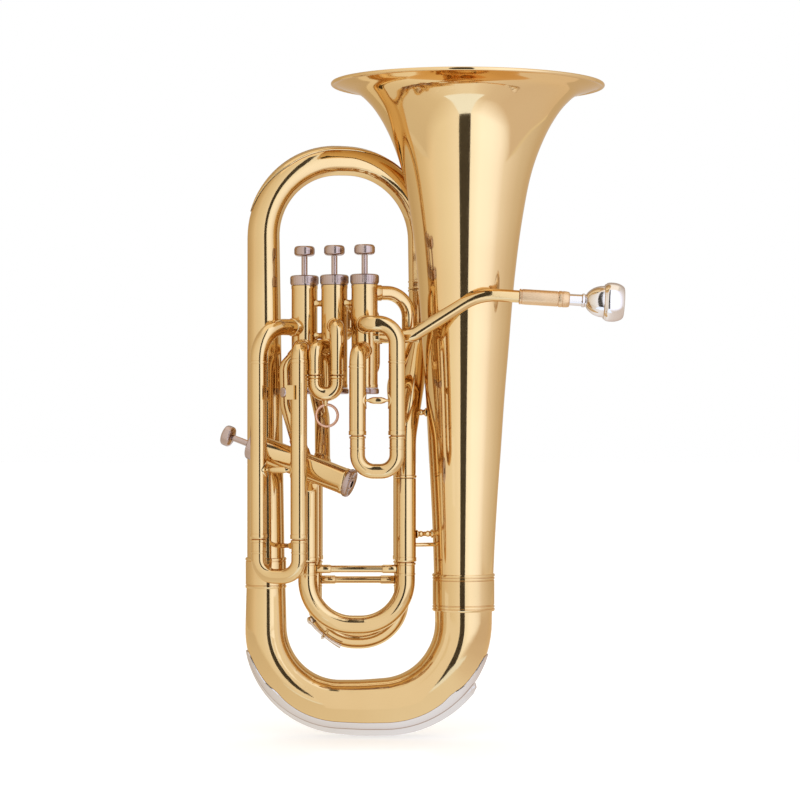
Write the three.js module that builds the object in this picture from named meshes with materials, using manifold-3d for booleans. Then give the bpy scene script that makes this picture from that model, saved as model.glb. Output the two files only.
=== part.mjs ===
// Compensating euphonium with three top valves and a fourth side valve.
// Millimetres, +Z up, bell upward, the player's side at -Y, mouthpiece at +X.
// The model is drawn about the foot of the main bow and moved at the end so
// that the origin is under the middle of its bounding box.
import * as THREE from 'three';
import { mergeVertices } from 'three/addons/utils/BufferGeometryUtils.js';
import Module from 'manifold-3d';

const wasm = await Module();
wasm.setup();

// ---- driving dimensions -------------------------------------------------
const GAP = 0.35;                 // clearance between touching solids
const STRIP_LIFT = 1.1;           // wear strip above the tube it covers
const WALL = 0.8;                 // sheet thickness of the tubing
const ARC_STEP = 30 * Math.PI / 180;
const TUBE_SIDES = 8;
const VALVE_SIDES = 14;

const BELL_X = 67;                // bell axis at the bell's foot
const BELL_FOOT_Z = 151.5;
const BELL_LEAN = 0.47 * Math.PI / 180;
const BELL_WALL = 1.2;
const RIM_WIRE = 2.2;
// height above the foot and outer radius of the bell's flare
const BELL_FLARE = [
  [0, 30.8], [53.5, 32.7], [103.5, 35.3], [154.5, 38.5], [205.5, 41.6], [255.5, 45.4],
  [331.5, 51.3], [394.5, 59], [445.5, 69], [483.5, 83.3], [505.5, 96], [516.5, 105],
  [525.5, 115.6], [530.5, 130], [534.5, 142.6],
];

const BOW_Z = 33;                 // centre line of the bottom bow's lowest point
const BRANCH_FOOT = [-141.4, 0, 171.5];
const BRANCH_TOP = [-144, 0, 523.5];
const INNER_LEG = [21.5, 52];     // top bow's inner leg, behind the bell
const TOP_BOW_Z = 608;
const INNER_JOINT_Z = 473;

const ROW_ANGLE = 25 * Math.PI / 180;
const VALVE_PITCH = 35;
const VALVE_MIDDLE = [-68.5, -30];
const VALVE_FOOT_Z = 360;
const CASING_R = 13.6;
const CASING_BORE = 12.9;
const CAP_R = 15;
const CASING_LENGTH = 107.5;
const FOURTH_CASING_LENGTH = 100.5;
const BOTTOM_CAP = 6.2;
const TOP_CAP = 10.4;
const STEM_R = 3.2;
const STEM_SHOW = 20;             // stem between top cap and button at rest
const BUTTON_R = 10.8;
const BUTTON_H = 10;
const PISTON_R = 12.5;
const PISTON_LENGTH = 66;
const SPRING_R = 9;
const SPRING_TURNS = 5;
const FOURTH_FOOT = [-49.6, -62, 267.2];
const FOURTH_AXIS = [-0.907, 0.243, 0.344];

const MOUTH_Y = -62;
const RECEIVER_END = [174.9, MOUTH_Y, 457.6];
const RECEIVER_DROOP = 3.5 * Math.PI / 180;
const RECEIVER_LENGTH = 52;

const BRASS = { color: 0xd9b878, roughness: 0.16, metalness: 1 };
const NICKEL = { color: 0xb9a8a2, roughness: 0.28, metalness: 1 };
const SILVER = { color: 0xdcd8d4, roughness: 0.15, metalness: 1 };
const STEEL = { color: 0x9a9a9a, roughness: 0.35, metalness: 1 };

// ---- helpers --------------------------------------------------------------
const root = new THREE.Group();
const V = (a) => new THREE.Vector3(a[0], a[1], a[2]);

function addMesh(name, geometry, finish, parent = root) {
  const mesh = new THREE.Mesh(geometry, new THREE.MeshStandardMaterial(finish));
  mesh.name = name;
  parent.add(mesh);
  return mesh;
}

// Points along a bent rod: corners are [x, y, z, bend radius].
function route(corners) {
  const points = [];
  const push = (p) => {
    if (!points.length || points[points.length - 1].distanceTo(p) > 0.05) points.push(p);
  };
  corners.forEach((corner, i) => {
    const p = V(corner);
    const radius = corner[3];
    if (!radius) { push(p); return; }
    const a = V(corners[i - 1]).sub(p).normalize();
    const b = V(corners[i + 1]).sub(p).normalize();
    const turn = Math.PI - a.angleTo(b);
    const start = p.clone().addScaledVector(a, radius * Math.tan(turn / 2));
    const middle = a.clone().add(b).normalize();
    const centre = p.clone().addScaledVector(middle, radius / Math.cos(turn / 2));
    const arm = start.sub(centre);
    const axis = b.clone().cross(a).normalize();
    const steps = Math.max(2, Math.ceil(turn / ARC_STEP));
    for (let k = 0; k <= steps; k += 1) {
      push(arm.clone().applyAxisAngle(axis, turn * k / steps).add(centre));
    }
  });
  return points;
}

// Ring frames carried along a path without twist.
function framesAlong(points) {
  const frames = [];
  let side = null;
  let run = 0;
  points.forEach((p, i) => {
    const before = points[Math.max(i - 1, 0)];
    const after = points[Math.min(i + 1, points.length - 1)];
    const into = p.clone().sub(before).normalize();
    const out = after.clone().sub(p).normalize();
    const tangent = into.add(out).normalize();
    if (!side) {
      side = Math.abs(tangent.y) > 0.9 ? new THREE.Vector3(1, 0, 0) : new THREE.Vector3(0, 1, 0);
    }
    side = side.clone().addScaledVector(tangent, -side.dot(tangent)).normalize();
    run += p.distanceTo(before);
    frames.push({ p, tangent, side, up: tangent.clone().cross(side), run });
  });
  frames.forEach((f) => { f.share = f.run / run; });
  return frames;
}

// Closed skin over rings of equal point count; capped at both ends, or joined
// end to end when the rings close on themselves.
function skin(rings, closed = false) {
  const count = rings[0].length;
  const position = [];
  const index = [];
  rings.forEach((ring) => ring.forEach((p) => position.push(p.x, p.y, p.z)));
  const spans = closed ? rings.length : rings.length - 1;
  for (let i = 0; i < spans; i += 1) {
    const a = i * count;
    const b = ((i + 1) % rings.length) * count;
    for (let k = 0; k < count; k += 1) {
      const n = (k + 1) % count;
      index.push(a + k, a + n, b + n, a + k, b + n, b + k);
    }
  }
  if (!closed) {
    const last = (rings.length - 1) * count;
    for (let k = 1; k < count - 1; k += 1) {
      index.push(0, k + 1, k, last, last + k, last + k + 1);
    }
  }
  const geometry = new THREE.BufferGeometry();
  geometry.setAttribute('position', new THREE.Float32BufferAttribute(position, 3));
  geometry.setIndex(index);
  return facingOut(geometry);
}

function facingOut(geometry) {
  const p = geometry.attributes.position;
  const index = geometry.index.array;
  let volume = 0;
  const [a, b, c] = [new THREE.Vector3(), new THREE.Vector3(), new THREE.Vector3()];
  for (let i = 0; i < index.length; i += 3) {
    a.fromBufferAttribute(p, index[i]);
    b.fromBufferAttribute(p, index[i + 1]);
    c.fromBufferAttribute(p, index[i + 2]);
    volume += a.dot(b.cross(c));
  }
  if (volume < 0) {
    const flipped = [];
    for (let i = 0; i < index.length; i += 3) flipped.push(index[i], index[i + 2], index[i + 1]);
    geometry.setIndex(flipped);
  }
  return geometry;
}

const pick = (radius, frame) => (typeof radius === 'function' ? radius(frame) : radius);

function ringAt(frame, radius, sides) {
  const ring = [];
  for (let k = 0; k < sides; k += 1) {
    const angle = 2 * Math.PI * k / sides;
    ring.push(frame.p.clone()
      .addScaledVector(frame.side, radius * Math.cos(angle))
      .addScaledVector(frame.up, radius * Math.sin(angle)));
  }
  return ring;
}

const rod = (points, radius, sides = TUBE_SIDES) => skin(
  framesAlong(points).map((f) => ringAt(f, pick(radius, f), sides)),
);

// Hollow tube, open at both ends: outer rings out, inner rings back.
function pipe(points, outer, inner, sides = TUBE_SIDES) {
  const frames = framesAlong(points);
  const out = frames.map((f) => ringAt(f, pick(outer, f), sides));
  const back = frames.map((f) => ringAt(f, pick(inner, f), sides)).reverse();
  return skin([...out, ...back], true);
}

// Body of revolution about Z from [radius, z] points closing on themselves.
function turned(profile, sides = VALVE_SIDES) {
  const rings = profile.map(([radius, z]) => {
    const ring = [];
    for (let k = 0; k < sides; k += 1) {
      const angle = 2 * Math.PI * k / sides;
      ring.push(new THREE.Vector3(radius * Math.cos(angle), radius * Math.sin(angle), z));
    }
    return ring;
  });
  return skin(rings, true);
}

function solid(geometry) {
  const merged = mergeVertices(geometry, 1e-5);
  return new wasm.Manifold(new wasm.Mesh({
    numProp: 3,
    vertProperties: new Float32Array(merged.attributes.position.array),
    triVerts: new Uint32Array(merged.index.array),
  }));
}

function geometryOf(manifold) {
  const mesh = manifold.getMesh();
  const geometry = new THREE.BufferGeometry();
  geometry.setAttribute('position', new THREE.Float32BufferAttribute(mesh.vertProperties, 3));
  geometry.setIndex([...mesh.triVerts]);
  return geometry;
}

// A cut may leave a sliver on the far side of the cutter, so the largest body is kept.
function minus(geometry, cutters) {
  const cut = cutters.reduce((body, cutter) => body.subtract(solid(cutter)), solid(geometry));
  const bodies = cut.decompose().sort((a, b) => b.volume() - a.volume());
  return geometryOf(bodies[0]);
}

function plus(geometry, extras) {
  const joined = extras.reduce((body, extra) => body.add(solid(extra)), solid(geometry));
  if (joined.decompose().length > 1) throw new Error('an added piece doesn\'t touch its body');
  return geometryOf(joined);
}

const moved = (geometry, group) => {
  group.updateMatrixWorld(true);
  return geometry.clone().applyMatrix4(group.matrixWorld);
};

// ---- bell and main loop ------------------------------------------------------
function bellProfile() {
  const curve = new THREE.SplineCurve(BELL_FLARE.map(([z, r]) => new THREE.Vector2(r, z)));
  const outer = [];
  const inner = [];
  const steps = 15;
  for (let i = 0; i <= steps; i += 1) {
    const share = 1 - (1 - i / steps) ** 1.25;
    const p = curve.getPoint(share);
    const t = curve.getTangent(share);
    outer.push([p.x, p.y]);
    inner.push([p.x - t.y * BELL_WALL, p.y + t.x * BELL_WALL]);
  }
  const [rimR, rimZ] = outer.pop();
  const wire = [[rimR - 2, rimZ - 1.4], [rimR, rimZ - RIM_WIRE], [rimR + 1.8, rimZ],
    [rimR, rimZ + RIM_WIRE], [rimR - 2.4, rimZ + 1.6]];
  inner.pop();
  return [...outer, ...wire, ...inner.reverse()];
}

const bellGroup = new THREE.Group();
bellGroup.position.set(BELL_X, 0, BELL_FOOT_Z);
bellGroup.rotation.y = BELL_LEAN;
root.add(bellGroup);
addMesh('bell', turned(bellProfile(), 28), BRASS, bellGroup);
// The lower bell as a solid grown by the clearance, for cutting the braces.
const lowerFlare = BELL_FLARE.filter(([z]) => z <= 331.5);
const flareAt = (height) => lowerFlare.find(([z]) => z >= height - 0.01)[1];
const bellSolid = moved(
  rod(lowerFlare.map(([z]) => V([0, 0, z])), (f) => flareAt(f.p.z) + GAP, 28), bellGroup,
);

const branchRadius = (f) => 17 + 2.9 * (BRANCH_TOP[2] - f.p.z) / (BRANCH_TOP[2] - BRANCH_FOOT[2]);
const branchPath = route([BRANCH_FOOT, [-142.7, 0, 347], BRANCH_TOP]);
addMesh('left_branch',
  pipe(branchPath, branchRadius, (f) => branchRadius(f) - WALL, 18), BRASS);

const bowPath = route([[-141.4, 0, BRANCH_FOOT[2] - GAP], [-141.4, 0, BOW_Z + 3, 80],
  [-40, 0, BOW_Z, 300], [BELL_X, 0, BOW_Z + 4.5, 86], [BELL_X, 0, BELL_FOOT_Z - 0.5]]);
const bowRadius = ({ share }) => {
  if (share < 0.5) return 20.2 + 5.3 * share / 0.5;
  return share < 0.8 ? 25.5 + 4.2 * (share - 0.5) / 0.3 : 29.7 + 0.6 * (share - 0.8) / 0.2;
};
addMesh('bottom_bow', pipe(bowPath, bowRadius, (f) => bowRadius(f) - WALL, 18), BRASS);

addMesh('bell_ferrule', pipe(route([[BELL_X, 0, 132], [BELL_X, 0, 171]]), 33, 32, 24), BRASS);
addMesh('left_branch_ferrule',
  pipe(route([[-141.4, 0, 156], [-141.5, 0, 188]]), 21.8, 21, 20), BRASS);

const topBowPath = route([[-144, 0, BRANCH_TOP[2] + 0.8], [-144, 0, TOP_BOW_Z, 82],
  [INNER_LEG[0], INNER_LEG[1], TOP_BOW_Z, 84], [...INNER_LEG, INNER_JOINT_Z]]);
const topBowRadius = (f) => 17 - 4.8 * f.share;
addMesh('top_bow', pipe(topBowPath, topBowRadius, (f) => topBowRadius(f) - WALL, 14), BRASS);

// Wear strip over the outside of a tube: half width in degrees about the
// outward direction, with a raised bead along its middle.
function wearStrip(points, tubeRadius, outward, halfWidth, thickness, bead) {
  const angles = [-1, -0.5, -0.14, 0.14, 0.5, 1];
  const rings = framesAlong(points).map((f) => {
    const out = outward(f);
    const across = f.tangent.clone().cross(out).normalize();
    const taper = Math.min(1, 0.35 + 4 * Math.min(f.share, 1 - f.share));
    const at = (share, lift) => {
      const angle = share * halfWidth * taper * Math.PI / 180;
      return f.p.clone().addScaledVector(out, (pick(tubeRadius, f) + lift) * Math.cos(angle))
        .addScaledVector(across, (pick(tubeRadius, f) + lift) * Math.sin(angle));
    };
    const raised = STRIP_LIFT + thickness + pick(bead, f);
    const top = angles.map((a) => at(a, Math.abs(a) < 0.2 ? raised : STRIP_LIFT + thickness));
    const under = angles.map((a) => at(a, STRIP_LIFT)).reverse();
    return [...top, ...under];
  });
  return skin(rings);
}

// Direction square to a tube's run, away from a point inside its bend.
const awayFrom = (middle) => (f) => {
  const away = f.p.clone().sub(V(middle));
  return away.addScaledVector(f.tangent, -away.dot(f.tangent)).normalize();
};

const GUARD_TOP_Z = 96;           // the strip covers the bow below this height
const GUARD_HALF_WIDTH = 46;      // degrees
const GUARD_BEAD = 6;             // full height of the bead, which dies away at both ends
const guardBead = ({ share }) => GUARD_BEAD * Math.min(1, 0.15 + 2.2 * share, 6 * (1 - share));
const bowFrames = framesAlong(bowPath);
const guardPath = bowFrames.filter((f) => f.p.z < GUARD_TOP_Z).map((f) => f.p);
const bowRadiusAt = (f) => 0.2 + bowRadius(bowFrames.reduce(
  (best, g) => (g.p.distanceTo(f.p) < best.p.distanceTo(f.p) ? g : best),
));
addMesh('bow_guard',
  wearStrip(guardPath, bowRadiusAt, awayFrom([-37, 0, 118]), GUARD_HALF_WIDTH, 1.4, guardBead),
  SILVER);

const topGuardPath = framesAlong(topBowPath).filter((f) => f.p.x < -70).map((f) => f.p);
addMesh('top_bow_guard',
  wearStrip(topGuardPath, 17, awayFrom([-62, 26, 480]), 38, 0.9, 0.3), BRASS);

// ---- valves ----------------------------------------------------------------
const rowStep = [VALVE_PITCH * Math.cos(ROW_ANGLE), -VALVE_PITCH * Math.sin(ROW_ANGLE)];
const valves = [-1, 0, 1].map((n) => {
  const group = new THREE.Group();
  const [x, y] = VALVE_MIDDLE;
  group.position.set(x + n * rowStep[0], y + n * rowStep[1], VALVE_FOOT_Z);
  return { group, casing: CASING_LENGTH };
});
const fourthGroup = new THREE.Group();
fourthGroup.position.set(...FOURTH_FOOT);
fourthGroup.quaternion.setFromUnitVectors(
  new THREE.Vector3(0, 0, 1), V(FOURTH_AXIS).normalize(),
);
valves.push({ group: fourthGroup, casing: FOURTH_CASING_LENGTH });

const casingEnds = (casing) => [BOTTOM_CAP + GAP, BOTTOM_CAP + GAP + casing];

// A casing grown by the clearance, as a cutter for whatever meets it.
function casingCutter(valve) {
  const [low, high] = casingEnds(valve.casing);
  const local = rod(route([[0, 0, low], [0, 0, high]]), CASING_R + GAP, VALVE_SIDES);
  return moved(local, valve.group);
}

function springGeometry(low, high) {
  const points = [];
  const steps = SPRING_TURNS * 7;
  for (let i = 0; i <= steps; i += 1) {
    const angle = 2 * Math.PI * i / 7;
    points.push(new THREE.Vector3(SPRING_R * Math.cos(angle), SPRING_R * Math.sin(angle),
      low + (high - low) * i / steps));
  }
  return rod(points, 0.9, 4);
}

valves.forEach((valve, i) => {
  const { group, casing } = valve;
  root.add(group);
  const name = `valve_${i + 1}`;
  const [low, high] = casingEnds(casing);
  const capFoot = high + GAP;
  const capTop = capFoot + TOP_CAP;
  const buttonFoot = capTop + STEM_SHOW;
  const pistonTop = high - 2;
  addMesh(`${name}_casing`, turned([[CASING_BORE, low], [CASING_R, low], [CASING_R, high],
    [CASING_BORE, high]]), BRASS, group);
  addMesh(`${name}_bottom_cap`, turned([[4, 0], [CAP_R - 1, 0], [CAP_R, 1], [CAP_R, BOTTOM_CAP],
    [12, BOTTOM_CAP], [12, 2], [4, 2]]), NICKEL, group);
  addMesh(`${name}_top_cap`, turned([[3.9, capTop], [3.9, capTop - 2.5], [12, capTop - 2.5],
    [12, capFoot], [CAP_R, capFoot], [CAP_R, capTop - 1.2], [CAP_R - 1.2, capTop]]),
  NICKEL, group);
  addMesh(`${name}_piston`, turned([[0.05, pistonTop - 3], [PISTON_R - 1.5, pistonTop - 3],
    [PISTON_R - 1.5, pistonTop - PISTON_LENGTH], [PISTON_R, pistonTop - PISTON_LENGTH],
    [PISTON_R, pistonTop], [STEM_R, pistonTop], [STEM_R, buttonFoot - GAP],
    [0.05, buttonFoot - GAP]]), NICKEL, group);
  addMesh(`${name}_button`, turned([[0.05, buttonFoot], [5, buttonFoot], [6, buttonFoot + 3],
    [BUTTON_R, buttonFoot + 4.5], [BUTTON_R, buttonFoot + BUTTON_H - 1.5],
    [BUTTON_R - 1.5, buttonFoot + BUTTON_H], [0.05, buttonFoot + BUTTON_H]]), NICKEL, group);
  const springTop = i < 3 ? pistonTop - PISTON_LENGTH - GAP : 18;
  addMesh(`${name}_spring`, springGeometry(3.4, springTop - 1), STEEL, group);
});

const casingSolids = valves.map(casingCutter);
const at = (n, z) => [valves[n].group.position.x, valves[n].group.position.y, z];
const onFourth = (x) => {
  const [fx, fy, fz] = FOURTH_FOOT;
  const [ax, ay, az] = FOURTH_AXIS;
  const t = (x - fx) / ax;
  return [x, fy + t * ay, fz + t * az];
};

// ---- tuning slides -------------------------------------------------------------
// Each slide is a U of tube whose two legs run up inside two outer tubes. The
// outer tubes are bent at the top and soldered into a valve or a branch.
function slideU(name, spec, extras = []) {
  const { left, right, top, mouth, bottom, bend, leg, crook } = spec;
  const path = route([[...left, top[0]], [...left, mouth - 0.6], [...left, mouth - 1],
    [...left, bottom, bend], [...right, bottom, bend], [...right, mouth - 1],
    [...right, mouth - 0.6], [...right, top[1]]]);
  const outer = (f) => (f.p.z > mouth - 0.8 ? leg : crook);
  const body = pipe(path, outer, leg - WALL);
  addMesh(name, extras.length ? plus(body, extras) : body, BRASS);
}

const outerTube = (name, path, outer, bore, cutters) => addMesh(
  name, minus(pipe(path, outer, bore), cutters), BRASS,
);

// Rod between two tubes, cut off at both.
const brace = (from, to, radius, cutters) => minus(rod(route([from, to]), radius, 8), cutters);

const FIRST = { left: [-146.1, -59], right: [-104.1, -71], top: [388, 384], mouth: 211,
  bottom: 172.2, bend: 17.5, leg: 6.9, crook: 7.7 };
const SECOND = { left: [-88.2, -64], right: [-65, -64], top: [396, 412], mouth: 380,
  bottom: 360, bend: 11.6, leg: 6.1, crook: 7.3 };
const THIRD = { left: [-43.5, -85.5], right: [-3.1, -85.5], top: [384, 400], mouth: 318,
  bottom: 281, bend: 17, leg: 6.9, crook: 7.7 };
const MAIN = { left: [-97, -12], right: [5.8, -12], top: [240, 262], mouth: 184.4,
  bottom: 117.6, bend: 47, leg: 9.2, crook: 10 };
const FOURTH = { left: [-91, 22], right: [1.6, 22], top: [240, 262], mouth: 184.4,
  bottom: 97.6, bend: 44, leg: 7.2, crook: 8 };
const BORE_PLAY = 0.2;            // beyond what the flat-sided tubes need to turn
const SLEEVE = 0.9;

const boreR = (spec) => spec.leg / Math.cos(Math.PI / TUBE_SIDES) + BORE_PLAY;
const sleeveR = (spec) => boreR(spec) + SLEEVE;
// Cross bar between a slide's legs, its ends sunk 1 mm into their skins.
const link = (spec, z, radius) => brace([...spec.left, z], [...spec.right, z], radius,
  [spec.left, spec.right].map((leg) => rod(
    route([[...leg, z - 12], [...leg, z + 12]]), spec.crook - 1,
  )));

const fingerRing = new THREE.TorusGeometry(11.2, 1.4, 6, 16)
  .rotateX(Math.PI / 2)
  .translate(-75.4, -64, 338)
  .deleteAttribute('normal')
  .deleteAttribute('uv');
const ringStub = rod(route([[-76.6, -64, 348], [-76.6, -64, 356]]), 1.6, 8);

slideU('first_slide', FIRST);
slideU('second_slide', SECOND, [ringStub, fingerRing]);
slideU('third_slide', THIRD);
slideU('main_tuning_slide', MAIN, [link(MAIN, 176.5, 4)]);
slideU('fourth_slide', FOURTH, [link(FOURTH, 163, 4)]);

// Outer tube of a slide leg, from a valve's axis by its corners down to the slide's mouth.
function outerLeg(name, spec, leg, corners, cutter) {
  const path = route([...corners, [...leg, spec.mouth]]);
  addMesh(name, minus(pipe(path, sleeveR(spec), boreR(spec)), [cutter]), BRASS);
}

outerLeg('first_slide_outer_left', FIRST, FIRST.left,
  [at(0, 430), [...FIRST.left, 430, 34]], casingSolids[0]);
outerLeg('first_slide_outer_right', FIRST, FIRST.right,
  [at(0, 408), [...FIRST.right, 408, 18]], casingSolids[0]);
outerLeg('second_slide_outer_left', SECOND, SECOND.left,
  [at(1, 409), [...SECOND.left, 409, 12]], casingSolids[1]);
outerLeg('second_slide_outer_right', SECOND, SECOND.right,
  [at(1, 430.8), [...SECOND.right, 430.8, 12]], casingSolids[1]);
outerLeg('third_slide_outer_left', THIRD, THIRD.left,
  [at(2, 405), [...THIRD.left, 405, 16]], casingSolids[2]);
outerLeg('third_slide_outer_right', THIRD, THIRD.right,
  [at(2, 432), [-34, THIRD.right[1], 432, 10], [...THIRD.right, 432, 20]], casingSolids[2]);
outerLeg('main_slide_outer_left', MAIN, MAIN.left,
  [onFourth(-92), [...MAIN.left, 266, 13]], casingSolids[3]);
addMesh('main_slide_outer_right',
  pipe(route([[...MAIN.right, 271.6], [...MAIN.right, MAIN.mouth]]), sleeveR(MAIN), boreR(MAIN)),
  BRASS);
outerLeg('fourth_slide_outer_left', FOURTH, FOURTH.left,
  [onFourth(-66), [-66, FOURTH.left[1], 275, 10], [...FOURTH.left, 275, 11]], casingSolids[3]);

const SLEEVE_TOP_Z = 310;         // the return tube widens to the sleeve below this height
const returnPath = route([at(2, 465.5), [9.3, -25, 465.5, 25], [9.3, -25, 426, 12],
  [-7, 31, 368, 16], [...FOURTH.right, 300, 20], [...FOURTH.right, FOURTH.mouth]]);
const returnOuter = (f) => (f.p.z > SLEEVE_TOP_Z ? 7.5 : sleeveR(FOURTH));
const returnBore = (f) => (f.p.z > SLEEVE_TOP_Z ? 6.6 : boreR(FOURTH));
addMesh('fourth_slide_outer_right',
  minus(pipe(returnPath, returnOuter, returnBore), [casingSolids[2]]), BRASS);

// ---- fixed tubes --------------------------------------------------------------------
const innerBranchPath = route([[...INNER_LEG, INNER_JOINT_Z - GAP], [...INNER_LEG, 415, 30],
  [...MAIN.right, 315, 30], [...MAIN.right, 272]]);
const innerRadius = (f) => 12.2 - 1.4 * f.share;
addMesh('inner_branch',
  pipe(innerBranchPath, innerRadius, (f) => innerRadius(f) - WALL, 14), BRASS);
const innerSolid = rod(innerBranchPath, (f) => innerRadius(f) + GAP, 14);

outerTube('fourth_valve_inlet', route([at(1, 398), [-87, 10, 398, 12],
  [-89, 10, 366, 14], [-82, -3, 336, 24],
  onFourth(-80)]), 7.9, 7.1, [casingSolids[1], casingSolids[3]]);
outerTube('fourth_valve_return', route([at(0, 395), [-119, -27.5, 395, 12],
  [-117, -34, 348, 22], onFourth(-98)]), 7.9, 7.1, [casingSolids[0], casingSolids[3]]);

const loop = (n, dx, dy, high, low) => route([at(n, high),
  [at(n)[0] + dx, at(n)[1] + dy, high, 10], [at(n)[0] + dx, at(n)[1] + dy, low, 10], at(n, low)]);
outerTube('first_compensating_loop', loop(0, -9, 32, 408, 380), 5.4, 4.6, [casingSolids[0]]);
outerTube('second_compensating_loop', loop(1, 14, 32, 455, 422), 5.8, 5, [casingSolids[1]]);
outerTube('third_compensating_loop', loop(2, 10, 34, 445, 385), 5.8, 5, [casingSolids[2]]);

const pipeStart = [
  RECEIVER_END[0] - RECEIVER_LENGTH * Math.cos(RECEIVER_DROOP) - GAP, MOUTH_Y,
  RECEIVER_END[2] + RECEIVER_LENGTH * Math.sin(RECEIVER_DROOP)];
const leadpipePath = route([pipeStart, [81.8, MOUTH_Y, 463.3, 60], [11.9, -56, 420, 25], at(2, 420)]);
const leadpipeRadius = (f) => 6.4 + 0.9 * f.share;
outerTube('leadpipe', leadpipePath, leadpipeRadius, (f) => leadpipeRadius(f) - WALL,
  [casingSolids[2]]);

const mouthGroup = new THREE.Group();
mouthGroup.position.set(...RECEIVER_END);
mouthGroup.rotation.y = Math.PI / 2 + RECEIVER_DROOP;
root.add(mouthGroup);
addMesh('mouthpiece_receiver', turned([[6.6, -RECEIVER_LENGTH], [8.6, -RECEIVER_LENGTH],
  [8.6, -RECEIVER_LENGTH + 4], [7.9, -RECEIVER_LENGTH + 5], [7.9, -5], [8.6, -4], [8.6, 0],
  [6.6, 0]], 16), BRASS, mouthGroup);
addMesh('mouthpiece', turned([[3.4, -25], [5.8, -25], [6.1, 12], [7, 15], [7.6, 17.4], [12, 21.6],
  [15.4, 27.6], [16.8, 35], [19.4, 38], [20.2, 42], [20.2, 51], [18.6, 55.2], [16.5, 56.2],
  [13.4, 54.5], [12.2, 45], [9, 36], [4, 28], [3.2, 20]], 20), SILVER, mouthGroup);

// ---- braces ---------------------------------------------------------------------------
const BRACE_R = 2.6;
addMesh('bell_brace_upper',
  brace([7.8, 5, 341], [69, 0, 341], BRACE_R, [innerSolid, bellSolid]), BRASS);
const mainSleeveSolid = rod(
  route([[...MAIN.right, 280], [...MAIN.right, 180]]), sleeveR(MAIN) + GAP,
);
addMesh('bell_brace_lower',
  brace([...MAIN.right, 213], [68, 0, 213], BRACE_R, [mainSleeveSolid, bellSolid]), BRASS);

// ---- water key ---------------------------------------------------------------------------
const keyCentre = [FOURTH.left[0] + FOURTH.bend, FOURTH.bottom + FOURTH.bend];
const onCrook = (degrees, distance, y) => [
  keyCentre[0] + distance * Math.cos(degrees * Math.PI / 180), y,
  keyCentre[1] + distance * Math.sin(degrees * Math.PI / 180)];
// degrees round the crook, distance from its centre, Y
const KEY_ARM = [[204, 53.5, 12.8], [215, 51.5, 11.5], [228, 50, 10.8], [240, 50, 10.2],
  [252, 51, 9.5]];
const keyArm = rod(KEY_ARM.map((spot) => V(onCrook(...spot))), 1.7, 8);
const keyPad = rod([V(onCrook(204, 50.2, 16)), V(onCrook(204, 53.5, 12.8))], 3.6, 10);
addMesh('water_key', plus(keyArm, [keyPad]), SILVER);

// ---- origin under the middle of the whole -----------------------------------------------
const box = new THREE.Box3().setFromObject(root);
const middle = box.getCenter(new THREE.Vector3());
root.position.set(-middle.x, -middle.y, -box.min.z);

export default root;
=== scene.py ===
"""Euphonium: fine meshes, materials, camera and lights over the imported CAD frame."""
import math

import bmesh
import bpy
from mathutils import Matrix, Vector

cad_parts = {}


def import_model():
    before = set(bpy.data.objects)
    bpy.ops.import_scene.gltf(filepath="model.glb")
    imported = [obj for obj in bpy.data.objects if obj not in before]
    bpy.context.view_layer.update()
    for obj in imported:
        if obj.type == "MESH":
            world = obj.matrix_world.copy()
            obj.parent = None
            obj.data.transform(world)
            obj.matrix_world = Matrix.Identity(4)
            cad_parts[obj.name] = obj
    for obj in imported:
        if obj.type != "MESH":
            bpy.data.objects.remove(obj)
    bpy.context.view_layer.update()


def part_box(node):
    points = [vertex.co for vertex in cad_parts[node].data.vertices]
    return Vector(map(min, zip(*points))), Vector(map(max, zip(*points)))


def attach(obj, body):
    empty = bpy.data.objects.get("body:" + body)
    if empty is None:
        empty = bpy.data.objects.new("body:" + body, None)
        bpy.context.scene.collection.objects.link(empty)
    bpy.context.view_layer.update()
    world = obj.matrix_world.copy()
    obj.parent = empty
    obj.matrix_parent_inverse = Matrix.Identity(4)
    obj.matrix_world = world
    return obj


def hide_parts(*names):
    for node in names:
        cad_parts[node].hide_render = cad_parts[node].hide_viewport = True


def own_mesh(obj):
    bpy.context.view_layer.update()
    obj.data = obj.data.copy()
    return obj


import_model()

# ---- where the part's own millimetre drawing sits in the frame --------------
MM = 0.001
VALVE_MIDDLE = (-68.5, -30.0)     # second valve's axis
CASING_FOOT_Z = 366.55
low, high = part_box("valve_2_casing")
ORIGIN = Vector(((low.x + high.x) / 2 - VALVE_MIDDLE[0] * MM,
                 (low.y + high.y) / 2 - VALVE_MIDDLE[1] * MM, low.z - CASING_FOOT_Z * MM))


def world(p):
    return ORIGIN + Vector(p) * MM


def between(knots, x):
    """Value at x on the straight lines through (x, value) knots."""
    for (x0, v0), (x1, v1) in zip(knots, knots[1:]):
        if x <= x1:
            return v0 + (v1 - v0) * (x - x0) / (x1 - x0)
    return knots[-1][1]


# ---- camera and studio --------------------------------------------------------
scene = bpy.context.scene
scene.view_settings.view_transform = "Standard"
scene.view_settings.look = "None"

CAMERA_AT = (0.0, -2800.0, 354.0)
LENS_MM = 119.4

camera = bpy.data.objects.new("camera", bpy.data.cameras.new("camera"))
scene.collection.objects.link(camera)
camera.location = world(CAMERA_AT)
camera.rotation_euler = (math.pi / 2, 0, 0)
camera.data.lens = LENS_MM
camera.data.sensor_width = 36
camera.data.clip_end = 60
scene.camera = camera

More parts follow.
